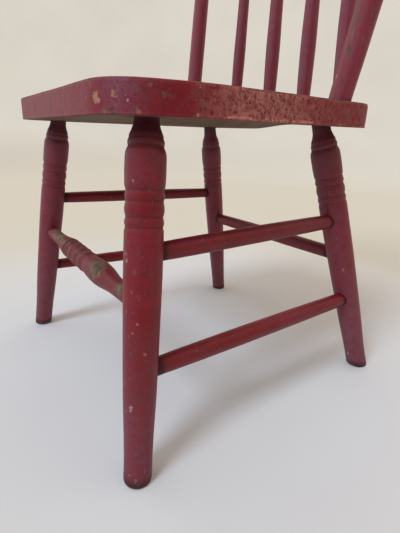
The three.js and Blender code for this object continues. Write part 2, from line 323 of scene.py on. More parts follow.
class PaintNoise:
    """The noises that every mark in the paint is made from, and the grain of the wood."""

    def __init__(self, g):
        self.broad = g.noise(0.045, detail=3, shift=4)
        self.middling = g.noise(0.28, detail=4, shift=9)
        self.fine = g.noise(1.3, detail=4, roughness=0.65)
        self.tiny = g.noise(2.6, detail=3, roughness=0.7, shift=5)
        self.grain = g.noise(1.0, detail=5, roughness=0.6, stretch=(2.2, 2.2, 0.1), shift=3)


def red_paint(g, n, richness):
    """Blotches of three reds, under a purple haze where the bloom_and_sheen attribute says, which is
    partly painted sheen.
    """
    blotches = g.step(n.broad, 0.38 - 0.2 * richness, 0.72 - 0.2 * richness)
    paint = g.mix(blotches, DEEP_RED, RASPBERRY)
    paint = g.mix(g.step(n.middling, 0.46, 0.7, 0, 0.6), paint, OLD_RED)
    bloom_and_sheen = g.math("ADD", g.attribute("bloom_and_sheen"), g.step(n.broad, 0.4, 0.7, 0.02, 0.1))
    return g.mix(g.times(bloom_and_sheen, g.step(g.add(n.middling, n.fine), 0.75, 1.2, 0.5, 1)), paint, BLOOM_AND_SHEEN)


def scuffed(g, n, paint):
    """Adds pale pink scuffs and scratches, and dark smudges, all finer than the chips."""
    scuffs = g.step(g.add(n.fine, g.times(n.middling, 0.6), g.times(n.tiny, 0.3)), 1.1, 1.25)
    paint = g.mix(g.times(scuffs, SCUFF_COVER), paint, PINK_SCUFF)
    streaks = g.noise(1.0, detail=4, roughness=0.7, stretch=(1.5, 1.5, 0.4), shift=29)
    scratches = g.step(g.add(streaks, g.times(n.middling, 0.5)), 0.88, 0.98)
    paint = g.mix(g.times(scratches, SCRATCH_COVER), paint, PINK_SCUFF)
    patches = g.noise(0.6, detail=4, roughness=0.7, shift=37)
    smudges = g.step(g.add(patches, g.times(n.broad, 0.4)), 0.72, 0.86)
    return g.mix(g.times(smudges, SMUDGE_COVER), paint, GRIME_AND_SHADE)


def dirt_and_shade_mask(g, n, crest, grime_and_shade):
    """Dirt in grooves, and where the grime_and_shade attribute says: dirt, and painted shade under the
    seat.
    """
    groove = g.step(g.math("MULTIPLY", crest, -1), 0.25, 1.0, 0, 0.32)
    return g.math("MULTIPLY", g.add(groove, grime_and_shade), g.step(n.fine, 0.25, 0.6, 0.7, 1), clamp=True)


def speckled(g, n, paint, height):
    """Adds sandy lumps and dark pits where the pebble attribute says, and the bead of thick paint."""
    pebble = g.attribute("pebble")
    grit = g.cells(0.75, shift=2)
    coarse = g.noise(0.62, detail=4, roughness=0.72, shift=17)
    pits = g.times(pebble, g.step(g.add(coarse, g.times(grit, 0.35)), 0.74, 0.92))
    lumps = g.times(pebble, g.step(g.add(coarse, g.times(n.tiny, 0.3)), 0.48, 0.72))
    paint = g.mix(g.times(lumps, g.step(n.middling, 0.3, 0.55, 0.5, 1)), paint, SANDY_RED)
    paint = g.mix(g.times(pits, PIT_COVER), paint, GRIME_AND_SHADE)
    bead = g.add(g.attribute("bead"), g.about(n.middling, 0.52, 2.6))
    bead = g.step(g.add(bead, g.about(n.fine, 0.5, 1.1)), 0.42, 0.66)
    paint = g.mix(g.times(bead, BEAD_COVER), paint, PALE_PINK)
    return paint, g.add(height, g.times(lumps, 0.14), g.times(pits, -0.2))


def chip_mask(g, n, crest, grime_and_shade):
    """Random chips, a few more of them on ridges and clean paint, and those of the chip attribute."""
    scatter = g.noise(0.5, detail=3, roughness=0.6, shift=13)
    ragged = g.add(g.times(scatter, 0.7), n.fine, g.times(n.tiny, 0.5))
    patchy = g.noise(0.07, detail=2, shift=21)
    random = g.add(ragged, g.times(patchy, 0.6), g.times(crest, 0.05), g.times(grime_and_shade, -0.2))
    placed = g.add(g.attribute("chip"), g.about(ragged, 1.1, 1.6))
    return g.math("MAXIMUM", g.step(random, 1.71, 1.8), g.step(placed, 0.48, 0.8))


def rubbed_mask(g, n):
    """Ragged patches of bare wood where the bare attribute says."""
    rubbed = g.add(g.attribute("bare"), g.about(n.middling, 0.5, 0.9))
    return g.step(g.add(rubbed, g.about(n.fine, 0.5, 0.9)), 0.44, 0.66)


def paint_material(name, richness, specular, is_seat=False):
    """Worn red paint on wood. The seat also has speckled sides and an unpainted underside.

    It reads these mesh attributes: crest (+1 on ridges, -1 in grooves), bare (where hands and
    feet wore the paint), chip (single chips) and tone (how pale the wood in them is), grime_and_shade
    (dirt, and painted shade under the seat), dust, bloom_and_sheen (a purple haze, partly painted
    sheen) and, on the seat, pebble (speckled paint), under (mm in from the underside's edge) and bead
    (the thick line of paint along the lower edge).
    """
    g = Graph(name)
    n = PaintNoise(g)
    crest = g.attribute("crest")
    grime_and_shade = g.attribute("grime_and_shade")
    dust_patches = g.step(g.add(n.middling, g.times(n.fine, 0.5)), 0.55, 0.95, 0.55, 1)
    dust = g.times(g.attribute("dust"), dust_patches)
    dirt_and_shade = dirt_and_shade_mask(g, n, crest, grime_and_shade)
    paint = scuffed(g, n, g.mix(dust, red_paint(g, n, richness), DUSTY_RED))
    # Darkens with dirt, and with painted shade under the seat.
    paint = g.mix(g.times(dirt_and_shade, GRIME_AND_SHADE_COVER), paint, GRIME_AND_SHADE)
    height = g.add(g.times(n.middling, 0.05), g.times(n.fine, 0.03), g.times(n.tiny, 0.008))
    if is_seat:
        paint, height = speckled(g, n, paint, height)

    chipped = chip_mask(g, n, crest, grime_and_shade)
    rubbed = rubbed_mask(g, n)
    worn = g.math("MAXIMUM", chipped, rubbed)
    color = g.mix(g.times(rubbed, RUBBED_COVER), paint, bare_wood_color(g, n.grain))
    color = g.mix(g.times(chipped, CHIP_COVER), color, chip_color(g))
    height = g.add(height, g.times(worn, -0.07), g.times(g.times(worn, n.grain), 0.05))
    if is_seat:
        under = g.step(g.add(g.attribute("under"), g.about(n.middling, 0.5, 3.2)), 0.3, 0.9)
        color = g.mix(under, color, underside_color(g, grime_and_shade))
        worn = g.math("MAXIMUM", worn, under)

    satin = g.step(n.fine, 0.3, 0.7, 0.3, 0.42)
    satin = g.add(satin, g.times(n.broad, 0.1), g.times(dust, 0.3))
    roughness = g.math("ADD", satin, g.times(g.math("MAXIMUM", worn, dirt_and_shade), 0.3), clamp=True)
    return g.finish(color, roughness, height, specular)


def underside_color(g, grime_mark):
    """Unpainted plank: grey-brown, with grain along X and dark stains round the legs."""
    grain = g.noise(0.5, detail=6, roughness=0.62, stretch=(0.06, 1, 1), shift=41, distortion=0.4)
    streak = g.noise(0.12, detail=3, stretch=(0.12, 1, 1), shift=47)
    wood = g.mix(g.step(grain, 0.35, 0.68), UNDER_WOOD, UNDER_DARK)
    wood = g.mix(g.step(streak, 0.4, 0.7, 0, 0.4), wood, UNDER_PALE)
    return g.mix(g.times(grime_mark, 0.7), wood, GRIME_AND_SHADE)


def stage_material():
    """Matt off-white paint: painted light makes it cool by the chair and warmer further off. It glows a
    little up the wall.
    """
    g = Graph("pale_stage")
    east, north, level = add_node(g.tree, "SeparateXYZ", {0: g.mm}).outputs
    from_chair = g.math("SQRT", g.add(g.math("POWER", east, 2), g.math("POWER", north, 2)))
    wall = g.step(level, 0, WALL_FADES_IN)
    cloud = g.step(g.noise(0.006, detail=3), 0.3, 0.7)
    # Painted light: the floor is cooler beside the chair and warmer further off.
    floor = g.mix(g.step(from_chair, *FLOOR_WARMS), g.mix(cloud, FLOOR_COOL, FLOOR_SHADED), FLOOR_WARM)
    glow = g.mix(cloud, WALL_GLOW, WALL_GLOW_SHADED)
    glow = g.mix(wall, (0, 0, 0, 1), glow)
    set_inputs(g.tree, g.shader, {"Emission Color": glow, "Emission Strength": 1.0})
    height = g.times(g.noise(0.25, detail=4, roughness=0.6), 0.05)
    return g.finish(g.mix(wall, floor, WALL_PAINT), 0.75, height, specular=0.2)


# ---- reading the CAD frame

# Corners this close to a turned node's end, or to the floor, belong to its flat end.
END_SLICE = 0.25 * MM
FLOOR_SLICE = 0.1 * MM


def node_points(node):
    """The distinct corners of a CAD node's mesh."""
    data = nodes[node].data
    flat = np.empty(len(data.vertices) * 3, np.float32)
    data.vertices.foreach_get("co", flat)
    return np.unique(flat.reshape(-1, 3).astype(float).round(6), axis=0)


def unit(vector):
    return vector / np.linalg.norm(vector)


def turned_axis(node, towards):
    """Where a turned node's axis starts and ends, and its largest radius.

    Its ends are flat, and square to the axis except at a leg's foot, which is cut level.
    """
    points = node_points(node)
    direction = np.linalg.svd(points - points.mean(0), full_matrices=False)[2][0]
    direction *= np.sign(direction @ np.array(towards, float))
    for _ in range(3):
        along = points @ direction
        start = points[along < along.min() + END_SLICE].mean(0)
        if node.endswith("_leg"):
            start = points[points[:, 2] < FLOOR_SLICE].mean(0)
        end = points[along > along.max() - END_SLICE].mean(0)
        direction = unit(end - start)
    offset = points - start
    radial = offset - np.outer(offset @ direction, direction)
    return start, end, np.linalg.norm(radial, axis=1).max()


# ---- mesh helpers


def through_knots(knots, at):
    """A smooth curve through (position, value) knots that never overshoots them."""
    place, value = np.array(knots, float).T
    gap = np.diff(place)
    slope = np.diff(value) / gap
    tangent = np.zeros_like(value)
    same_way = slope[:-1] * slope[1:] > 0
    total = np.where(same_way, slope[:-1] + slope[1:], 1)
    tangent[1:-1] = np.where(same_way, 2 * slope[:-1] * slope[1:] / total, 0)
    tangent[0], tangent[-1] = slope[0], slope[-1]
    index = np.clip(np.searchsorted(place, at) - 1, 0, len(gap) - 1)
    t = (at - place[index]) / gap[index]
    rise = value[index + 1] - value[index]
    start, end = tangent[index] * gap[index], tangent[index + 1] * gap[index]
    square = 3 * rise - 2 * start - end
    cube = start + end - 2 * rise
    return value[index] + t * start + t**2 * square + t**3 * cube


def band(place, middle, half_width, middle_value=1.0):
    """Falls from middle_value by one for every half_width from the middle, kept from 0 to 1."""
    return np.clip(middle_value - np.abs(place - middle) / half_width, 0, 1)


def smooth(share):
    """Rises from 0 to 1 with no corners as share goes from 0 to 1."""
    share = np.clip(share, 0, 1)
    return share * share * (3 - 2 * share)


def make_object(name, vertices, faces, matrix, material, attributes):
    """A smooth-shaded mesh object, with one number per vertex for each named attribute."""
    mesh = bpy.data.meshes.new(name)
    mesh.from_pydata([tuple(v) for v in vertices], [], faces)
    mesh.polygons.foreach_set("use_smooth", [True] * len(mesh.polygons))
    mesh.materials.append(material)
    mesh.update()
    piece = bpy.data.objects.new(name, mesh)
    piece.matrix_world = matrix
    bpy.context.scene.collection.objects.link(piece)
    for label, values in attributes.items():
        mark(piece, label, values)
    return piece


def mark(piece, label, values):
    """Adds a named number per vertex, which the materials read."""
    attribute = piece.data.attributes.new(label, "FLOAT", "POINT")
    attribute.data.foreach_set("value", np.asarray(values, np.float32))


def stand_for(piece, node):
    """Makes a piece stand for a CAD node, on the chair's one body."""
    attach(piece, "root")
    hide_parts(node)


def world_points(piece):
    matrix = np.array(piece.matrix_world)
    points = np.array([v.co for v in piece.data.vertices])
    return points @ matrix[:3, :3].T + matrix[:3, 3]


def grid_faces(rows, columns, closed_ends=True):
    """Quads between the rings of a tube, and a fan to one extra vertex at each end."""
    faces = []
    for row in range(rows - 1):
        for column in range(columns):
            after = (column + 1) % columns
            low, high = row * columns, (row + 1) * columns
            faces.append((low + column, low + after, high + after, high + column))
    if closed_ends:
        first, last = rows * columns, rows * columns + 1
        top = (rows - 1) * columns
        for column in range(columns):
            after = (column + 1) % columns
            faces.append((first, after, column))
            faces.append((last, top + column, top + after))
    return faces


def lumpiness(points, scale_mm, seed):
    """Smooth noise from about -1 to 1 at each point, with features about scale_mm wide."""
    shift = Vector((seed * 7.3, -seed * 3.1, seed * 5.7))
    size = 1 / (scale_mm * MM)
    return np.array([noise.noise(Vector(p) * size + shift) for p in points])


RANDOM_CHIP_TONE = 0.25


def mark_chips(piece, points, places):
    """Marks chips at (place, radius in mm, tone), and gives the random ones elsewhere one tone."""
    chip = np.zeros(len(points))
    tone = np.full(len(points), RANDOM_CHIP_TONE)
    for place, radius, shade in places:
        distance = np.linalg.norm(points - np.array(place), axis=1) / MM
        chip = np.maximum(chip, np.clip(1.25 - distance / radius * 0.7, 0, 1))
        tone[distance < radius * 2.2] = shade
    mark(piece, "chip", chip)
    mark(piece, "tone", tone)


# ---- turned pieces

# Profiles are [place, radius in mm]. A leg's places are in mm up the leg. The others' are shares of
# a stretcher's length, or of what shows of a post or spindle.
LEG_PROFILE = [
    [0, 4.3], [0.25, 4.7], [0.7, 5.0], [1.6, 5.12], [7.6, 5.15], [15.4, 5.3], [30.7, 5.85],
    [45.6, 6.2], [60, 6.45], [74, 6.65], [84, 6.68], [90.4, 6.67],
    [91.3, 6.52], [91.9, 6.28], [92.6, 6.48], [93.6, 6.63], [94.7, 6.45],
    [95.4, 6.22], [96.1, 6.48], [97.9, 6.72], [99.8, 6.5],
    [100.5, 6.28], [101.2, 6.48], [102.3, 6.68], [103.4, 6.5],
    [104.1, 6.3], [104.8, 6.58], [106.2, 6.78], [111, 6.85], [115, 6.78], [116.5, 6.55],
    [117.4, 6.15], [118.1, 5.86], [118.8, 5.97], [119.4, 6.04], [120.1, 5.9],
    [120.8, 5.56], [121.3, 5.6], [121.8, 5.5], [122.5, 5.16], [123.4, 4.82], [125.4, 4.25], [128, 4.1],
]

PLAIN_STRETCHER_PROFILE = [
    [0, 3.1], [0.05, 3.12], [0.12, 3.25], [0.3, 3.4], [0.5, 3.45], [0.7, 3.4], [0.88, 3.25], [1, 3.1],
]

# From the right-hand end: plain end, swelling, five ridges, smooth bulb, plain end.
FRONT_STRETCHER_PROFILE = [
    [0, 3.1], [0.05, 3.15], [0.2, 3.4], [0.26, 3.9], [0.31, 4.65],
    [0.332, 4.85], [0.343, 5.08], [0.353, 4.75], [0.362, 4.55], [0.371, 4.75],
    [0.38, 5.1], [0.391, 4.78], [0.41, 4.58], [0.428, 4.8],
    [0.44, 5.14], [0.452, 4.8], [0.47, 4.58], [0.487, 4.78],
    [0.498, 5.1], [0.51, 4.76], [0.525, 4.55], [0.541, 4.74],
    [0.553, 5.0], [0.566, 4.66], [0.582, 4.42], [0.6, 4.66],
    [0.65, 5.15], [0.69, 5.25], [0.73, 5.02], [0.775, 4.3], [0.82, 3.7], [0.9, 3.3], [1, 3.1],
]

POST_PROFILE = [[0, 4.6], [0.05, 4.62], [0.15, 4.75], [0.4, 4.7], [0.7, 4.4], [1, 4.0]]

SPINDLE_PROFILE = [[0, 3.2], [0.04, 3.24], [0.12, 3.45], [0.25, 3.6], [0.4, 3.3], [0.6, 3.0], [1, 2.6]]

# Points round each turned piece, and the distance in mm between its rings.
LEG_MESH = (80, 0.55)
FRONT_STRETCHER_MESH = (56, 0.3)
PLAIN_MESH = (56, 0.9)

# How far the turned pieces are out of true: (length, depth) of long waves and of small flats, in mm.
WAVES = (26, 0.05)
FLATS = (5, 0.025)

# A ridge this far above its neighbours' mean radius, taken over RIDGE_REACH to each side, counts
# as a full ridge. Both are in mm.
RIDGE_HEIGHT = 0.16
RIDGE_REACH = 1.6

# The lowest rings of a leg lean from level at the floor to square to its axis this high up, in mm.
LEVELLED_WITHIN = 8


def girth_of(profile, widest):
    """How much a profile's radii grow so that the largest one is `widest` metres."""
    return widest / MM / max(radius for _, radius in profile)


def ridge_marks(radii, step_mm):
    """+1 on a ridge and -1 in a groove, from how far each radius is off its neighbours' mean."""
    reach = max(1, round(RIDGE_REACH / step_mm))
    padded = np.pad(radii, reach, mode="edge")
    window = np.ones(2 * reach + 1) / (2 * reach + 1)
    return np.clip((radii - np.convolve(padded, window, mode="valid")) / RIDGE_HEIGHT, -1, 1)


def axis_frame(start, end):
    """Places a piece with its own origin at start and its own Z axis towards end."""
    z = Vector(end) - Vector(start)
    turn = z.to_track_quat("Z", "Y").to_matrix().to_4x4()
    return Matrix.Translation(Vector(start)) @ turn


def turn_piece(name, start, end, profile_mm, material, mesh_size, seed, stand=False):
    """A turned piece from start to end, slightly out of true. `stand` cuts it level at the floor."""
    segments, step_mm = mesh_size
    length = np.linalg.norm(end - start) / MM
    count = int(length / step_mm) + 1
    along = np.linspace(profile_mm[0][0], length, count)
    radii = through_knots(profile_mm, along)
    crest = ridge_marks(radii, along[1] - along[0])
    matrix = axis_frame(start, end)
    angles = np.linspace(0, 2 * math.pi, segments, endpoint=False)
    spokes = np.stack([np.cos(angles), np.sin(angles), np.zeros(segments)], axis=1)
    rings = np.repeat(along, segments)[:, None] * np.array([[0, 0, 1.0]])
    points = rings + np.tile(spokes, (count, 1)) * np.repeat(radii, segments)[:, None]
    waves = lumpiness(points * MM, WAVES[0], seed) * WAVES[1]
    flats = lumpiness(points * MM, FLATS[0], seed + 3) * FLATS[1]
    points += np.tile(spokes, (count, 1)) * (waves + flats)[:, None]
    if stand:
        rise = np.array(matrix.to_3x3())[2]
        floor = -(points[:, 0] * rise[0] + points[:, 1] * rise[1]) / rise[2]
        points[:, 2] += floor * np.clip(1 - points[:, 2] / LEVELLED_WITHIN, 0, 1)
    ends = [points[:segments].mean(0), points[-segments:].mean(0)]
    points = np.vstack([points, ends]) * MM
    marks = {"crest": np.append(np.repeat(crest, segments), [0, 0])}
    piece = make_object(name, points, grid_faces(count, segments), matrix, material, marks)
    return piece, world_points(piece)


def facing(points, start, end, direction):
    """How far each point of a turned piece faces a direction, from -1 to 1."""
    axis = unit(end - start)
    offset = points - start
    radial = offset - np.outer(offset @ axis, axis)
    length = np.maximum(np.linalg.norm(radial, axis=1), 1e-6)
    return radial @ unit(np.array(direction, float)) / length


# A leg's radius near the floor, how much it grows, and over what height, in mm. Chips use these.
LEG_FOOT_RADIUS = 5.5
LEG_SWELLING = 1.2
LEG_SWELLS_OVER = 80


def on_leg(start, end, height_mm, bearing):
    """A place on a leg's surface: its height, and its bearing in degrees from +X towards +Y."""
    share = height_mm * MM / end[2]
    turn = math.radians(bearing)
    radius = (LEG_FOOT_RADIUS + LEG_SWELLING * min(1, height_mm / LEG_SWELLS_OVER)) * MM
    return start + (end - start) * share + np.array([math.cos(turn), math.sin(turn), 0]) * radius


# Chips on two legs: height in mm, bearing in degrees, radius in mm, and tone from dark to pale.
LEG_CHIPS = {
    "front_left_leg": [
        (103.5, -14, 0.8, 0.1), (106.0, -59, 0.5, 0.95), (77.2, -49, 0.95, 0.25), (80.6, -79, 0.6, 0.95),
        (82.6, -83, 0.5, 0.9), (70.5, -60, 0.75, 0.35), (76.7, 0, 0.55, 0.1), (63.7, -76, 0.65, 0.35),
        (60.2, -38, 0.6, 0.35), (57.0, -52, 0.45, 0.9), (49.7, -14, 0.8, 0.25), (47.5, -10, 0.5, 0.3),
        (38.5, -86, 0.7, 0.4), (31.0, -55, 0.85, 0.9), (28.6, -79, 0.6, 0.4), (41.0, -60, 0.4, 0.9),
        (29.6, -57, 0.5, 1.0), (7.6, 4, 0.5, 1.0), (6.2, 2, 0.42, 1.0), (5.5, -60, 0.5, 1.0),
        (3.6, -33, 0.9, 0.2),
    ],
    "rear_left_leg": [
        (57.9, -45, 0.5, 1.0), (56.6, -50, 0.35, 0.9), (36.4, -39, 0.45, 1.0), (7.5, -97, 0.9, 0.9),
    ],
}
# How far above the usual place the rings of a leg were cut, in mm.
RING_SHIFT = {"rear_left_leg": 2.6}


LEGS = ["front_left_leg", "front_right_leg", "rear_left_leg", "rear_right_leg"]


def make_legs(material):
    for seed, node in enumerate(LEGS):
        start, end, widest = turned_axis(node, UP)
        shift = RING_SHIFT.get(node, 0.0)
        profile = leg_profile(np.linalg.norm(end - start) / MM, girth_of(LEG_PROFILE, widest), shift)
        piece, points = turn_piece(
            f"{node}_turned", start, end, profile, material, LEG_MESH, seed + 1, stand=True
        )
        mark_leg(piece, node, points, shift, seed)
        places = [(on_leg(start, end, *chip[:2]), *chip[2:]) for chip in LEG_CHIPS.get(node, [])]
        mark_chips(piece, points, places)
        stand_for(piece, node)


def leg_profile(length, girth, shift):
    """The legs' profile at one leg's own girth, with its rings moved up by shift."""
    knots = [
        [place + shift * min(1, max(0, (place - 20) / 60)), radius * girth]
        for place, radius in LEG_PROFILE
    ]
    return knots + [[length + 2, 4.0 * girth]]


def mark_leg(piece, node, points, shift, seed):
    """Bare wood at the sole, dirt at the foot, painted shade under the seat, and a purple haze that is
    partly painted sheen.
    """
    height = points[:, 2] / MM
    scuffs = lumpiness(points, 9, seed + 11)
    foot = np.clip(1.25 - height / 3.2, 0, 1) * (0.52 + 0.5 * scuffs)
    mark(piece, "bare", np.clip(foot, 0, 1))
    # Painted shade: the top of the leg is darker where the seat's shadow falls, most of all at the neck.
    neck = np.clip((height - 115 - shift) / 7, 0, 1) * 0.74
    under_seat = np.clip((height - 100) / 14, 0, 1) * (0.2 if node.startswith("rear") else 0.12)
    sole = np.clip(1.5 - height / 2.6 + 0.5 * scuffs, 0, 1) * 0.85
    age = 0.04 + 0.24 * np.clip(1 - height / 66, 0, 1)
    mark(piece, "grime_and_shade", np.clip(np.maximum(neck, under_seat) + sole + age, 0, 1))
    # A purple haze: on all but the front left leg it is partly painted sheen, low down it is dusty, and
    # near the top it is painted sheen.
    haze_and_sheen = 0.0 if node == "front_left_leg" else 0.22
    low_haze = np.clip((62 - height) / 40, 0, 1) * 0.28
    high_painted_sheen = np.clip((height - 100) / 8, 0, 1) * 0.14
    mark(piece, "bloom_and_sheen", haze_and_sheen + low_haze + high_painted_sheen)


STRETCHERS = ["left_upper", "left_lower", "right_upper", "right_lower", "rear", "front"]
# How far each end of a stretcher is inside a leg, in mm.
STRETCHER_TENON = 4.2


def make_stretchers(material):
    for seed, label in enumerate(STRETCHERS):
        node = f"{label}_stretcher"
        along_y = label.startswith(("left", "right"))
        start, end, widest = turned_axis(node, BACKWARDS if along_y else LEFTWARDS)
        shape = FRONT_STRETCHER_PROFILE if label == "front" else PLAIN_STRETCHER_PROFILE
        girth = girth_of(shape, widest)
        length = np.linalg.norm(end - start) / MM
        profile = [[place * length, radius * girth] for place, radius in shape]
        mesh_size = FRONT_STRETCHER_MESH if label == "front" else PLAIN_MESH
        piece, points = turn_piece(f"{node}_turned", start, end, profile, material, mesh_size, seed + 21)
        along = (points - start) @ unit(end - start) / MM
        from_leg = np.minimum(along, length - along) - STRETCHER_TENON
        joint = np.clip(1 - (from_leg - 1.2) / 1.4, 0, 1) * 0.95
        top = facing(points, start, end, (0, -0.35, 0.9))
        if label == "front":
            mark_front_stretcher(piece, points, start, end, along / length, joint, top)
        else:
            mark_plain_stretcher(piece, points, joint, top, seed)
        mark_chips(piece, points, [])
        stand_for(piece, node)


def mark_plain_stretcher(piece, points, joint, top, seed):
    """Darker where it meets the legs, and patches of bare wood along its top."""
    mark(piece, "grime_and_shade", np.maximum(joint, 0.1))
    patches = np.clip(lumpiness(points, 14, seed + 31) - 0.35, 0, 1)
    mark(piece, "bare", np.clip(top, 0, 1) * patches)


def mark_front_stretcher(piece, points, start, end, share, joint, top):
    """Wear by feet: above on the ridges and the right end, and in front on the bulb and left end.

    `share` goes from 0 at the right end to 1 at the left end.
    """
    crest = np.empty(len(points), np.float32)
    piece.data.attributes["crest"].data.foreach_get("value", crest)
    mark(piece, "grime_and_shade", np.maximum(joint, 0.28 + 0.5 * np.clip(-crest, 0, 1)))
    right_end = band(share, 0.2, 0.13, 1.2) * 1.2
    ridges = np.clip(crest * 1.6 - 0.15, 0, 1) * (np.abs(share - 0.45) < 0.13) * 1.25
    bulb = band(share, 0.715, 0.052, 1.45) * 0.95
    left_end = band(share, 0.9, 0.045, 1.2) * 0.95
    front = facing(points, start, end, (0, -0.66, 0.75))
    above = np.maximum(right_end, ridges) * np.clip(top * 1.5 - 0.3, 0, 1)
    ahead = np.maximum(bulb, left_end) * np.clip(front * 1.9 - 0.75, 0, 1)
    patches = lumpiness(points, 11, 5)
    mark(piece, "bare", np.clip(np.maximum(above, ahead) + 0.12 * patches, 0, 1))
    mark(piece, "dust", np.clip(0.16 - 0.4 * top, 0, 0.3))


BACK_MEMBERS = [
    "left_back_post", "right_back_post", "left_inner_spindle", "right_inner_spindle",
    "left_outer_spindle", "right_outer_spindle",
]
# How far below the seat's top the posts and spindles start, in mm.
BACK_MEMBER_FOOT = 2
# A chip on the left post: distance up the post in mm, offset from its axis in metres, radius in
# mm, and tone.
POST_CHIP = (12, (-0.0015, -0.0047, 0), 0.9, 0.6)


def make_back_members(material):
    seat_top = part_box("seat")[1].z
    rail_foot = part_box("crest_rail")[0].z
    for seed, node in enumerate(BACK_MEMBERS):
        start, end, widest = turned_axis(node, UP)
        is_post = node.endswith("post")
        rise = unit(end - start)
        start = start + rise * (seat_top - BACK_MEMBER_FOOT * MM - start[2]) / rise[2]
        length = np.linalg.norm(end - start) / MM
        visible = (rail_foot - seat_top) / MM / rise[2]
        profile = back_profile(POST_PROFILE if is_post else SPINDLE_PROFILE, widest, visible, length)
        piece, points = turn_piece(f"{node}_turned", start, end, profile, material, PLAIN_MESH, seed + 41)
        height = (points[:, 2] - seat_top) / MM
        mark(piece, "grime_and_shade", np.clip(1 - height / 1.3, 0, 1) * 0.7)
        # A purple haze on the posts and spindles, partly painted sheen.
        mark(piece, "bloom_and_sheen", np.full(len(points), 0.18 if is_post else 0.3))
        places = []
        if node == "left_back_post":
            mark(piece, "bare", post_stripe(points, start, end, height))
            up_post, offset, radius, tone = POST_CHIP
            places = [(start + unit(end - start) * up_post * MM + np.array(offset), radius, tone)]
        mark_chips(piece, points, places)
        stand_for(piece, node)


def back_profile(shape, widest, visible, length):
    """A post's or spindle's shape spread over its visible length, and continued at both ends."""
    girth = girth_of(shape, widest)
    profile = [[BACK_MEMBER_FOOT + place * visible, radius * girth] for place, radius in shape]
    return [[0, profile[0][1]]] + profile + [[length + 1, profile[-1][1]]]


def post_stripe(points, start, end, height):
    """A thin line of bare wood that winds a little way round the left post as it climbs."""
    bearing = np.radians(-58 - 1.05 * height)
    axis = unit(end - start)
    offset = points - start
    radial = offset - np.outer(offset @ axis, axis)
    around = np.arctan2(radial[:, 1], radial[:, 0])
    off = np.abs((around - bearing + math.pi) % (2 * math.pi) - math.pi)
    reach = band(height, 25, 14, 1.4)
    return np.clip(1.15 - off / 0.24, 0, 1) * reach * (0.7 + 0.4 * lumpiness(points, 6, 3))


# ---- seat

SEAT_POINTS_AROUND = 720
OUTLINE_EASING_PASSES = 14

# In mm: the rounding of the seat's lower and upper edges, and how far its underside's and its
# top's rings run in.
SEAT_LOWER_ROUNDING = 0.45
SEAT_UPPER_ROUNDING = 1.3
SEAT_RINGS_BELOW = 62
SEAT_RINGS_ABOVE = 60


def turns_left(a, b, c):
    return np.cross(np.subtract(b, a), np.subtract(c, b)) > 0


def plan_hull(points):
    """The outline of points seen from above, anticlockwise."""
    ordered = sorted(map(tuple, np.unique(points[:, :2], axis=0)))

    def chain(sequence):
        kept = []
        for p in sequence:
            while len(kept) > 1 and not turns_left(*kept[-2:], p):
                kept.pop()
            kept.append(p)
        return kept[:-1]

    return np.array(chain(ordered) + chain(ordered[::-1]))


def even_outline(corners, count):
    """The same outline at even steps, with its corners eased."""
    ring = np.vstack([corners, corners[:1]])
    travelled = np.concatenate([[0], np.cumsum(np.linalg.norm(np.diff(ring, axis=0), axis=1))])
    at = np.linspace(0, travelled[-1], count, endpoint=False)
    even = np.stack([np.interp(at, travelled, ring[:, axis]) for axis in (0, 1)], axis=1)
    for _ in range(OUTLINE_EASING_PASSES):
        even = (np.roll(even, 1, axis=0) + 2 * even + np.roll(even, -1, axis=0)) / 4
    return even


def seat_levels(thickness):
    """(inset, height) in mm of each ring, from the underside's middle round to the top's middle."""
    across = np.linspace(0, 1, 26)[1:]
    lower, upper = SEAT_LOWER_ROUNDING, SEAT_UPPER_ROUNDING
    levels = [(inset, 0.0) for inset in SEAT_RINGS_BELOW * across[::-1] ** 1.6]
    for angle in np.linspace(0, math.pi / 2, 5):
        levels.append((lower * (1 - math.sin(angle)), lower * (1 - math.cos(angle))))
    for height in np.linspace(lower, thickness - upper, 15)[1:-1]:
        levels.append((0.0, height))
    for angle in np.linspace(0, math.pi / 2, 8):
        levels.append((upper * (1 - math.cos(angle)), thickness - upper * (1 - math.sin(angle))))
    levels += [(upper + inset, thickness) for inset in SEAT_RINGS_ABOVE * across**1.6]
    return levels


def seat_rings(outline, thickness, underside):
    """The seat's rings in one list of points in mm, and each point's inset and height."""
    reach = np.linalg.norm(outline, axis=1, keepdims=True)
    rings, insets = [], []
    for inset, height in seat_levels(thickness):
        ring = outline * (1 - inset / reach)
        rings.append(np.column_stack([ring, np.full(len(ring), underside + height)]))
        insets.append(np.full(len(ring), inset))
    points = np.vstack(rings)
    return points, np.concatenate(insets), points[:, 2] - underside


def shape_seat(points, outline, inset, height, thickness):
    """Makes the rings uneven in place. Returns how much of the bead of paint each point carries."""
    reach = np.linalg.norm(outline, axis=1, keepdims=True)
    outward = np.tile(outline / reach, (len(points) // len(outline), 1))
    side = (inset < 1.4) & (height > 0.3) & (height < thickness - 0.3)
    bead = band(height, 0.8, 0.62) * side
    swell = lumpiness(points * MM, 30, 61) * 0.12 + lumpiness(points * MM, 4, 62) * 0.06
    ridge = bead * (0.18 + 0.22 * lumpiness(points * MM, 3, 63))
    points[:, :2] += outward * ((swell - 0.15) * side + ridge - 0.25 * bead)[:, None]
    points[:, 2] += seat_hollow(points) * np.clip(1 - height / 6, 0, 1)
    sag = lumpiness(points * MM, 45, 64) * 0.12
    points[:, 2] -= np.abs(sag) * (height > thickness - 0.2)
    return bead


def with_middles(values, underside, top):
    """Adds the values of the two points at the middles of the underside and the top."""
    return np.append(values, [underside, top])


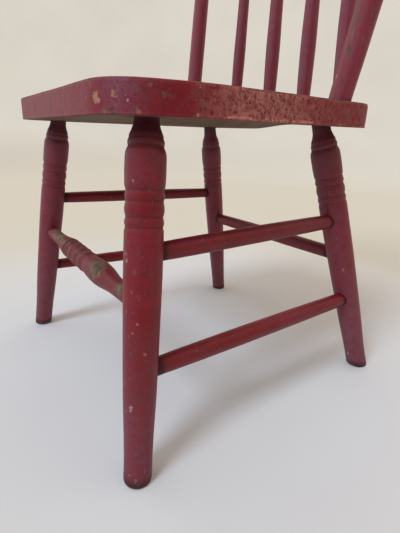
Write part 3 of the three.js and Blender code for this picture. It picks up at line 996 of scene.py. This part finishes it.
def make_seat(material):
    """The plank seat: rounded edges, uneven sides, and an underside shaved up towards the rear."""
    low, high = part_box("seat")
    thickness = (high.z - low.z) / MM
    outline = even_outline(plan_hull(node_points("seat")), SEAT_POINTS_AROUND) / MM
    points, inset, height = seat_rings(outline, thickness, low.z / MM)
    bead = shape_seat(points, outline, inset, height, thickness)
    bead *= np.clip((points[:, 1] + 56) / 22, 0.1, 1) * np.clip((26 - points[:, 1]) / 16, 0.35, 1)
    faces = grid_faces(len(points) // len(outline), len(outline))
    middles = [points[: len(outline)].mean(0), points[-len(outline):].mean(0)]
    points = np.vstack([points, middles]) * MM
    on_top = with_middles((height > thickness - 0.3).astype(float), 0, 1)
    arris = with_middles(((inset > 0.05) & (inset < 1.4) & (height > 5)).astype(float), 0, 0)
    marks = {
        "under": with_middles(np.where(height < 0.2, inset, 0), 60, 0),
        "bead": with_middles(bead, 0, 0),
        "pebble": seat_pebble(points, on_top),
        "dust": seat_dust(points, on_top),
        # A faint purple haze, and a painted purple sheen at the front left corner.
        "bloom_and_sheen": 0.03 + 0.55 * np.exp(-np.sum((points[:, :2] / MM - PAINTED_SHEEN_PLACE) ** 2, axis=1) / 60),
        "bare": seat_wear(points, on_top, arris),
        "grime_and_shade": seat_grime(points, on_top),
    }
    piece = make_object("seat_board", points, faces, Matrix.Identity(4), material, marks)
    places = [(np.array(place) * MM, radius, tone) for place, radius, tone in SEAT_CHIPS]
    mark_chips(piece, points, places)
    stand_for(piece, "seat")


def seat_hollow(points):
    """How far the rear of the underside is shaved up towards the middle, in mm."""
    x, y = points[:, 0], points[:, 1]
    start = smooth((x + 30) / 34)
    return 0.038 * np.clip(68 - x, 0, None) * start * smooth((y + 25) / 25)


# The middle of the painted purple sheen at the seat's front left corner, as x and y in mm.
PAINTED_SHEEN_PLACE = (65, -68)

# Chips at the same corner: place and radius in mm, and tone from dark to pale.
SEAT_CHIPS = [
    ((49.8, -72.6, 130.0), 0.75, 0.7), ((56.3, -71.9, 129.8), 1.6, 0.66),
    ((57.8, -71.4, 128.8), 0.8, 0.75), ((53.5, -72.4, 133.4), 0.9, 0.35),
    ((62.7, -68.8, 130.4), 1.1, 1.0), ((63.4, -68.2, 131.2), 0.5, 0.7),
    ((65.2, -66.0, 130.2), 0.6, 1.0), ((65.4, -65.6, 129.0), 0.6, 0.8),
    ((67.8, -59.5, 133.2), 0.8, 0.1), ((59.5, -70.6, 125.8), 1.2, 0.1),
    ((62.0, -69.3, 125.7), 1.3, 0.12), ((66.6, -62.8, 126.0), 1.0, 0.2),
    ((47.0, -72.6, 126.2), 0.6, 0.3),
]


def seat_pebble(points, on_top):
    """Speckled paint: strongest along the middle of the sides, and faint on the top."""
    y = points[:, 1] / MM
    sides = np.clip((y + 50) / 24, 0.03, 1) * np.clip(1 - (y + 10) / 40, 0.3, 1)
    return np.where(on_top > 0.5, 0.16, sides)


def seat_dust(points, on_top):
    """Dust on the top, and a little along the front."""
    x, y = points[:, 0] / MM, points[:, 1] / MM
    front = np.clip((-y - 52) / 12, 0, 1) * np.clip((52 - x) / 18, 0, 1)
    return np.clip(front * 0.02 + on_top * 0.25, 0, 1)


def seat_wear(points, on_top, arris):
    """Where the top was rubbed: its arris here and there, and where a sitter's legs pass the front."""
    broad = lumpiness(points, 16, 71)
    front = np.clip((-points[:, 1] / MM - 50) / 22, 0, 1) * band(points[:, 0] / MM, 0, 55)
    return np.clip(arris * (0.42 + 0.35 * broad) + on_top * front * (0.25 + 0.35 * broad), 0, 1)


def seat_grime(points, on_top):
    """Dirt round the feet of the posts and spindles, and round the leg heads underneath."""
    marks = np.zeros(len(points))
    underside, top = (corner.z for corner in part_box("seat"))
    for node in LEGS + BACK_MEMBERS:
        start, end, _ = turned_axis(node, UP)
        level, here, spread = (underside, on_top < 0.5, 9) if node in LEGS else (top, on_top > 0.5, 5.6)
        centre = start + (end - start) * (level - start[2]) / (end[2] - start[2])
        gap = np.linalg.norm(points[:, :2] - centre[:2], axis=1) / MM
        marks = np.maximum(marks, np.clip((spread - gap) / 3, 0, 1) * here)
    return marks


# ---- crest rail

# In mm. The ends narrow and close within end_rounding, by end_shrink above and below.
RAIL = {
    "bend_radius": 300,
    "half_length": 80,
    "thickness": 9.5,
    "end_height": 27,
    "crown_height": 35,
    "top_corner": 10,
    "bottom_corner": 3,
    "bottom_corner_length": 5,
    "arris": 2.6,
    "end_rounding": 3.5,
    "end_shrink": 1.5,
    "thinnest": 0.3,
}
RAIL_SECTIONS = 170


def rail_top(x):
    """Height of the rail's top edge, in mm above its foot, at a distance x from its middle."""
    shoulder = RAIL["half_length"] - RAIL["top_corner"]
    share = np.minimum(x, shoulder) / shoulder
    crown = RAIL["crown_height"] - (RAIL["crown_height"] - RAIL["end_height"] - 1) * share**2
    over = np.clip(x - shoulder, 0, RAIL["top_corner"])
    return crown - RAIL["top_corner"] + np.sqrt(np.maximum(RAIL["top_corner"] ** 2 - over**2, 0))


def rail_section(low, high, thickness, count=44):
    """A rounded rectangle with its arrises eased, as (depth, height) points."""
    angles = np.linspace(0, 2 * math.pi, count, endpoint=False)
    half_depth, half_height = thickness / 2, (high - low) / 2
    arris = min(RAIL["arris"], half_depth * 0.98, half_height * 0.98)
    corner = np.stack([np.cos(angles), np.sin(angles)], axis=1)
    straight = np.array([half_depth - arris, half_height - arris])
    return corner * arris + np.sign(np.round(corner, 6)) * straight + np.array([0, (low + high) / 2])


def rail_ring(x):
    """The bent board's section x mm from its middle, as (x, y, height) points."""
    from_end = RAIL["half_length"] - abs(x)
    closing = 1 - math.sqrt(1 - max(0.0, 1 - from_end / RAIL["end_rounding"]) ** 2)
    corner = 1 - math.sqrt(1 - max(0.0, 1 - from_end / RAIL["bottom_corner_length"]) ** 2)
    shrink = closing * RAIL["end_shrink"]
    thickness = max(RAIL["thickness"] * (1 - closing), RAIL["thinnest"])
    low = RAIL["bottom_corner"] * corner + shrink
    section = rail_section(low, float(rail_top(abs(x))) - shrink, thickness)
    turn = math.asin(x / RAIL["bend_radius"])
    centre = np.array([x, RAIL["bend_radius"] * (math.cos(turn) - 1)])
    across = np.array([math.sin(turn), math.cos(turn)])
    return np.column_stack([centre + section[:, :1] * across, section[:, 1]])


def rail_place(tilt):
    """Where the rail's foot stands at its middle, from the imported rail's rear and highest point."""
    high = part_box("crest_rail")[1]
    to_rear = (RAIL["crown_height"] * math.sin(tilt) + RAIL["thickness"] / 2 * math.cos(tilt)) * MM
    to_crown = (RAIL["crown_height"] * math.cos(tilt) + RAIL["thickness"] / 2 * math.sin(tilt)) * MM
    return Vector((0, high.y - to_rear, high.z - to_crown))


def make_crest_rail(material):
    """A bent board, tilted back with the posts, on the heads of the posts and spindles."""
    start, end, _ = turned_axis("left_back_post", UP)
    tilt = math.atan2(end[1] - start[1], end[2] - start[2])
    matrix = Matrix.Translation(rail_place(tilt)) @ Matrix.Rotation(-tilt, 4, "X")
    stations = RAIL["half_length"] * np.sin(np.linspace(-math.pi / 2, math.pi / 2, RAIL_SECTIONS) * 0.999)
    rings = [rail_ring(x) for x in stations]
    around = len(rings[0])
    points = np.vstack(rings)
    points += lumpiness(points * MM, 22, 81)[:, None] * np.array([0, 0.1, 0.1])
    ends = [points[:around].mean(0), points[-around:].mean(0)]
    points = np.vstack([points, ends]) * MM
    top_edge = (points[:, 2] / MM - rail_top(np.abs(points[:, 0] / MM)) + 1.6) / 1.6
    broad = lumpiness(points, 15, 83)
    marks = {
        "bare": np.clip(np.clip(top_edge, 0, 1) * (0.3 + 0.55 * broad), 0, 1),
        # A purple haze, partly painted sheen.
        "bloom_and_sheen": np.full(len(points), 0.16),
    }
    faces = grid_faces(len(rings), around)
    piece = make_object("crest_rail_board", points, faces, matrix, material, marks)
    mark_chips(piece, points, [])
    stand_for(piece, "crest_rail")


# ---- floor

# In metres. The floor's first ring is so small that it leaves no hole to be seen.
FLOOR_FIRST_RING = 0.00001
FLOOR_RADIUS = 0.85
COVE_RADIUS = 0.3
WALL_TOP = 1.3
STAGE_SEGMENTS = 96


def round_sheet(name, rings, material):
    """A sheet of revolution about Z from (radius, height) rings, facing in and up."""
    angles = np.linspace(0, 2 * math.pi, STAGE_SEGMENTS, endpoint=False)
    points = [(r * math.cos(a), r * math.sin(a), z) for r, z in rings for a in angles]
    faces = [face[::-1] for face in grid_faces(len(rings), STAGE_SEGMENTS, closed_ends=False)]
    sheet = make_object(name, points, faces, Matrix.Identity(4), material, {})
    return sheet


def make_stage():
    """A round pale floor, and a cove and wall that are seen but neither shade nor light the chair."""
    material = stage_material()
    floor = [(radius, 0.0) for radius in np.linspace(FLOOR_FIRST_RING, FLOOR_RADIUS, 14)]
    round_sheet("floor", floor, material)
    cove = [
        (FLOOR_RADIUS + COVE_RADIUS * math.sin(a), COVE_RADIUS * (1 - math.cos(a)))
        for a in np.linspace(0, math.pi / 2, 18)
    ]
    wall = [(FLOOR_RADIUS + COVE_RADIUS, z) for z in np.linspace(COVE_RADIUS, WALL_TOP, 6)[1:]]
    backdrop = round_sheet("backdrop", cove + wall, material)
    backdrop.visible_diffuse = False
    backdrop.visible_glossy = False
    backdrop.visible_shadow = False


# ---- the chair

turning_paint = paint_material("turning_paint", richness=0.5, specular=0.32)
back_paint = paint_material("back_paint", richness=1.0, specular=0.5)
seat_paint = paint_material("seat_paint", richness=0.2, specular=0.12, is_seat=True)

make_camera()
make_window()
make_room()
make_stage()
make_legs(turning_paint)
make_stretchers(turning_paint)
make_back_members(back_paint)
make_crest_rail(back_paint)
make_seat(seat_paint)
